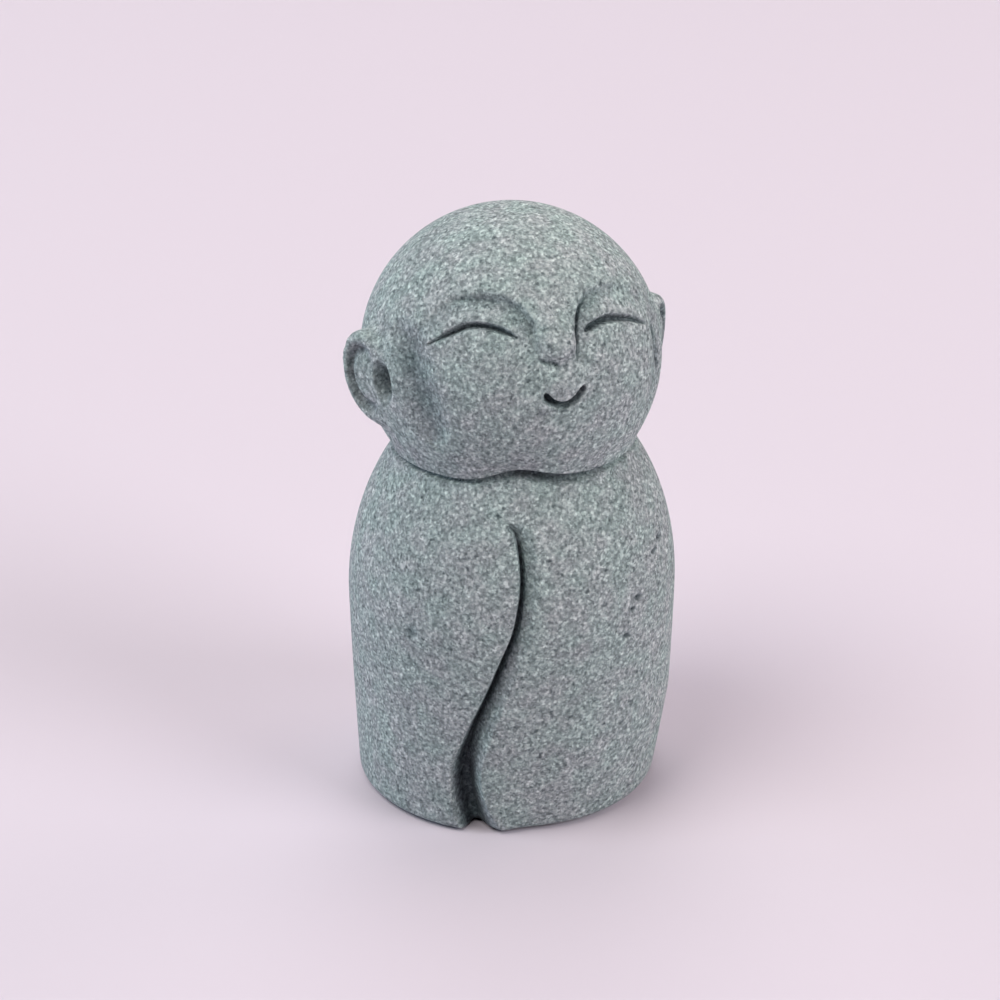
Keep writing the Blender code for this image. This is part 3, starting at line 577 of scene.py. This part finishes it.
def chip_depth(p):
    """How deep the small chips are cut."""
    cut = np.zeros(len(p))
    for chip in CHIPS:
        x, y, z, wide, tall, depth = np.array(chip) * UNIT
        cut += depth * bell(np.linalg.norm((p - (x, y, z)) / (wide, wide, tall), axis=1), 1.0)
    return cut


def hem_inset(p):
    """How far the rounding of the hem takes the surface in, just over the floor."""
    short = np.clip(HEM_ROUNDING - p[:, 2], 0.0, HEM_ROUNDING)
    return HEM_ROUNDING - np.sqrt(HEM_ROUNDING**2 - short**2)


def whole_depth(p):
    return carving(p) + chip_depth(p) + hem_inset(p)


def slope_of(form, p, here):
    """The form's rate of change along x, y and z at each point, where its value is here."""
    return np.column_stack([(form(p + step) - here) / PROBE for step in np.eye(3) * PROBE])


def settle(p, form):
    """Moves points onto the surface where the form is zero, by steps along its slope."""
    for _ in range(SETTLE_STEPS):
        here = form(p)
        slope = slope_of(form, p, here)
        steepness = np.einsum("ij,ij->i", slope, slope) + TINY
        move = -slope * (here / steepness)[:, None]
        length = np.linalg.norm(move, axis=1)[:, None] + TINY
        p = p + move * np.minimum(1.0, LONGEST_STEP / length)
    return p


def settle_sides(p):
    """Settles all the points but those of the block's foot, which the floor cuts off later."""
    on_side = p[:, 2] > FOOT_KEPT - BLOCK_FOOT
    p[on_side] = settle(p[on_side], base_form)
    return p


def ball(bm, centre, radii, turn=0.0):
    """A round ball stretched to its three radii, turned about the upright axis."""
    made = bmesh.ops.create_uvsphere(bm, u_segments=BALL_SEGMENTS, v_segments=BALL_RINGS, radius=1.0)
    for vert in made["verts"]:
        x, y, z = (vert.co[k] * radii[k] for k in range(3))
        vert.co = (
            centre[0] + x * math.cos(turn) - y * math.sin(turn),
            centre[1] + x * math.sin(turn) + y * math.cos(turn),
            centre[2] + z,
        )


def drum(bm, half_width, half_depth, bottom, top):
    made = bmesh.ops.create_cone(
        bm, cap_ends=True, segments=DRUM_SEGMENTS, radius1=half_width, radius2=half_width, depth=top - bottom
    )
    for vert in made["verts"]:
        vert.co.y *= half_depth / half_width
        vert.co.z += (top + bottom) / 2


def rough_block():
    """The figure's main solids, standing into each other."""
    bm = bmesh.new()
    drum(bm, ROBE_HALF_WIDTH, ROBE_HALF_DEPTH, -BLOCK_FOOT, ROBE_WIDEST_Z)
    ball(bm, (0, 0, ROBE_WIDEST_Z), (ROBE_HALF_WIDTH, ROBE_HALF_DEPTH, ROBE_DOME_RISE))
    head_z = HEIGHT - HEAD_RADIUS
    ball(bm, (0, HEAD_SET_BACK, head_z), (HEAD_RADIUS,) * 3)
    for side in (-1, 1):
        ear_out, ear_forward, ear_up = EAR_PLACE[side]
        u = ear_out * side
        x = u * math.cos(HEAD_TURN) + ear_forward * math.sin(HEAD_TURN)
        y = u * math.sin(HEAD_TURN) - ear_forward * math.cos(HEAD_TURN) + HEAD_SET_BACK
        radii = (EAR_HALF_WIDTH, EAR_BLOCK_HALF_THICKNESS, EAR_HALF_HEIGHT[side])
        ball(bm, (x, y, head_z + ear_up), radii, HEAD_TURN + side * EAR_FACING)
    mesh = bpy.data.meshes.new("monk_block")
    bm.to_mesh(mesh)
    bm.free()
    return mesh


def evaluated_mesh(obj):
    graph = bpy.context.evaluated_depsgraph_get()
    return bpy.data.meshes.new_from_object(obj.evaluated_get(graph))


def with_modifier(obj, kind, **settings):
    """Runs one modifier on the object's mesh, and keeps the result as the mesh."""
    modifier = obj.modifiers.new(kind.title(), kind)
    for name, value in settings.items():
        setattr(modifier, name, value)
    made = evaluated_mesh(obj)
    obj.modifiers.remove(modifier)
    old = obj.data
    obj.data = made
    bpy.data.meshes.remove(old)


def vertices_of(mesh):
    flat = np.empty(len(mesh.vertices) * 3)
    mesh.vertices.foreach_get("co", flat)
    return flat.reshape(-1, 3)


def put_vertices(mesh, p):
    mesh.vertices.foreach_set("co", p.ravel())
    mesh.update()


def cut_at_floor(mesh):
    """Takes off what lies under the floor, and closes the cut with a flat face."""
    bm = bmesh.new()
    bm.from_mesh(mesh)
    everything = bm.verts[:] + bm.edges[:] + bm.faces[:]
    cut = bmesh.ops.bisect_plane(
        bm, geom=everything, dist=0.0, plane_co=(0, 0, 0), plane_no=(0, 0, -1), clear_outer=True
    )
    rim = [part for part in cut["geom_cut"] if isinstance(part, bmesh.types.BMEdge)]
    bmesh.ops.edgeloop_fill(bm, edges=rim)
    bm.to_mesh(mesh)
    bm.free()


def middle_of(p):
    low, high = p.min(axis=0), p.max(axis=0)
    return np.array([(low[0] + high[0]) / 2, (low[1] + high[1]) / 2, low[2]])


def extra_shade(p):
    """Painted shade, as a depth on top of the carved one, in the lines of the face and in the left ear, on
    the head alone.
    """
    q = head_place(p)
    left_ear = np.where(q[:, 0] > 0.0, ear_carving(q), 0.0)
    shade = LINE_SHADE * face_lines(q) + LEFT_EAR_SHADE * left_ear
    return np.where(head_form(q) < robe_form(p), shade, 0.0)


def outward_of(p):
    """The direction straight out of the uncarved figure at each point."""
    slope = slope_of(base_form, p, base_form(p))
    return slope / np.linalg.norm(slope, axis=1)[:, None]


def refine(mesh):
    """Splits the edges that the carving bends between their ends, so that thin lines come out clean."""
    bm = bmesh.new()
    bm.from_mesh(mesh)
    bmesh.ops.triangulate(bm, faces=bm.faces[:])
    for _ in range(REFINE_ROUNDS):
        bm.verts.index_update()
        p = np.array([vert.co for vert in bm.verts])
        ends = np.array([[vert.index for vert in edge.verts] for edge in bm.edges])
        middle = p[ends].mean(axis=1)
        depth = whole_depth(p)
        bend = np.abs(whole_depth(middle) - depth[ends].mean(axis=1))
        length = np.linalg.norm(p[ends[:, 0]] - p[ends[:, 1]], axis=1)
        coarse = (bend > BEND_ALLOWED) & (length > SHORTEST_EDGE) & (middle[:, 2] > -SHORTEST_EDGE)
        edges = [edge for edge, split in zip(bm.edges[:], coarse) if split]
        bmesh.ops.subdivide_edges(bm, edges=edges, cuts=1)
        bmesh.ops.triangulate(bm, faces=bm.faces[:])
        p = settle_sides(np.array([vert.co for vert in bm.verts]))
        for vert, place in zip(bm.verts, p):
            vert.co = place
    bm.to_mesh(mesh)
    bm.free()


def make_figure():
    figure = bpy.data.objects.new("monk_skin", rough_block())
    bpy.context.scene.collection.objects.link(figure)

    with_modifier(figure, "REMESH", mode="VOXEL", voxel_size=BLOCK_SPACING)
    put_vertices(figure.data, settle_sides(vertices_of(figure.data)))
    refine(figure.data)

    p = vertices_of(figure.data)
    depth = whole_depth(p)
    # Painted shade: the carved depth, with more for the face's lines, the left ear and the chips, is kept
    # per point to darken the stone's colour
    painted_shade = figure.data.attributes.new("painted_shade", "FLOAT", "POINT")
    shade = carving(p) + extra_shade(p) + CHIP_SHADE * chip_depth(p)
    painted_shade.data.foreach_set("value", (shade / DEPTH_OF_DARKEST_SHADE).astype(np.float32))
    put_vertices(figure.data, p - outward_of(p) * depth[:, None])
    cut_at_floor(figure.data)
    p = vertices_of(figure.data)
    put_vertices(figure.data, p - middle_of(p))
    figure.data.shade_smooth()
    return figure


def stone_material():
    material = bpy.data.materials.new("cast_stone_grain_painted_shade")
    material.use_nodes = True
    nodes = material.node_tree.nodes
    links = material.node_tree.links
    shader = nodes["Principled BSDF"]
    shader.inputs["Roughness"].default_value = STONE_ROUGHNESS
    shader.inputs["Specular IOR Level"].default_value = STONE_SHEEN

    place = nodes.new("ShaderNodeTexCoord")
    scaled = nodes.new("ShaderNodeVectorMath")
    scaled.operation = "SCALE"
    scaled.inputs["Scale"].default_value = 1 / UNIT
    links.new(place.outputs["Object"], scaled.inputs[0])

    def noise_field(scale, detail):
        field = nodes.new("ShaderNodeTexNoise")
        field.inputs["Scale"].default_value = scale
        field.inputs["Detail"].default_value = detail
        field.inputs["Roughness"].default_value = NOISE_ROUGHNESS
        links.new(scaled.outputs["Vector"], field.inputs["Vector"])
        return field

    def ramp(source, stops):
        made = nodes.new("ShaderNodeValToRGB")
        elements = made.color_ramp.elements
        while len(elements) < len(stops):
            elements.new(0.5)
        for element, (at, colour) in zip(elements, stops):
            element.position = at
            element.color = (*colour, 1.0)
        links.new(source, made.inputs["Fac"])
        return made

    def times(first, second):
        """The product of two colours."""
        mix = nodes.new("ShaderNodeMix")
        mix.data_type = "RGBA"
        mix.blend_type = "MULTIPLY"
        mix.inputs["Factor"].default_value = 1.0
        links.new(first, mix.inputs["A"])
        links.new(second, mix.inputs["B"])
        return mix.outputs["Result"]

    grain = noise_field(GRAIN_SCALE, GRAIN_DETAIL)
    colour = ramp(grain.outputs["Fac"], GRAIN_STOPS).outputs["Color"]
    cells = nodes.new("ShaderNodeTexVoronoi")
    cells.inputs["Scale"].default_value = CELL_SCALE
    links.new(scaled.outputs["Vector"], cells.inputs["Vector"])
    colour = times(colour, ramp(cells.outputs["Color"], CELL_STOPS).outputs["Color"])
    for scale, stops in ((PIT_SCALE, PIT_STOPS), (TINT_SCALE, TINT_STOPS)):
        field = noise_field(scale, BROAD_DETAIL)
        colour = times(colour, ramp(field.outputs["Fac"], stops).outputs["Color"])

    # Painted shade: the colour is darkened in the carved recesses, after the per-point painted shade
    # attribute
    painted_shade = nodes.new("ShaderNodeAttribute")
    painted_shade.attribute_name = "painted_shade"
    colour = times(colour, ramp(painted_shade.outputs["Fac"], PAINTED_SHADE_STOPS).outputs["Color"])
    links.new(colour, shader.inputs["Base Color"])

    bump = nodes.new("ShaderNodeBump")
    bump.inputs["Strength"].default_value = BUMP_STRENGTH
    bump.inputs["Distance"].default_value = BUMP_DISTANCE
    links.new(grain.outputs["Fac"], bump.inputs["Height"])
    links.new(bump.outputs["Normal"], shader.inputs["Normal"])
    return material


def plain_material(name, colour, roughness):
    material = bpy.data.materials.new(name)
    material.use_nodes = True
    shader = material.node_tree.nodes["Principled BSDF"]
    shader.inputs["Base Color"].default_value = (*colour, 1.0)
    shader.inputs["Roughness"].default_value = roughness
    shader.inputs["Specular IOR Level"].default_value = 0.0
    return material


def make_floor():
    bm = bmesh.new()
    bmesh.ops.create_circle(bm, cap_ends=True, segments=FLOOR_SEGMENTS, radius=FLOOR_RADIUS)
    mesh = bpy.data.meshes.new("floor")
    bm.to_mesh(mesh)
    bm.free()
    floor = bpy.data.objects.new("floor", mesh)
    bpy.context.scene.collection.objects.link(floor)
    mesh.materials.append(plain_material("pale_floor", FLOOR_COLOUR, 1.0))
    return floor


def make_camera():
    level, rise = math.cos(CAMERA_LIFT), math.sin(CAMERA_LIFT)
    back = Vector((math.sin(CAMERA_BEARING) * level, -math.cos(CAMERA_BEARING) * level, rise))
    right = Vector((math.cos(CAMERA_BEARING), math.sin(CAMERA_BEARING), 0.0))
    up = back.cross(right)
    data = bpy.data.cameras.new("camera")
    data.sensor_width = CAMERA_SENSOR
    data.lens = CAMERA_LENS
    data.dof.use_dof = False
    camera = bpy.data.objects.new("camera", data)
    bpy.context.scene.collection.objects.link(camera)
    aim = Vector((0.0, 0.0, HEIGHT / 2)) - right * CAMERA_ASIDE - up * CAMERA_DROP
    camera.matrix_world = Matrix((right, up, back)).transposed().to_4x4()
    camera.location = aim + back * CAMERA_DISTANCE
    bpy.context.scene.camera = camera


def soft_light(name, bearing, lift, power, colour):
    """A large soft light, at a bearing from +X towards +Y and a lift in degrees, facing the figure."""
    across = math.cos(math.radians(lift))
    toward = Vector((
        across * math.cos(math.radians(bearing)),
        across * math.sin(math.radians(bearing)),
        math.sin(math.radians(lift)),
    ))
    data = bpy.data.lights.new(name, "AREA")
    data.shape = "DISK"
    data.size = LIGHT_SIZE
    data.energy = power
    data.color = colour
    light = bpy.data.objects.new(name, data)
    bpy.context.scene.collection.objects.link(light)
    light.location = toward * LIGHT_DISTANCE
    aim = Vector((0.0, 0.0, HEIGHT / 2)) - light.location
    light.rotation_euler = aim.to_track_quat("-Z", "Y").to_euler()


def make_surroundings():
    world = bpy.data.worlds.new("studio")
    world.use_nodes = True
    world.node_tree.nodes["Background"].inputs["Strength"].default_value = 0.0
    bpy.context.scene.world = world
    bpy.context.scene.view_settings.view_transform = "Standard"
    for light in LIGHTS:
        soft_light(*light)


figure = make_figure()
figure.data.materials.clear()
figure.data.materials.append(stone_material())
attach(figure, "root")
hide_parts("monk_figure")
make_floor()
make_camera()
make_surroundings()
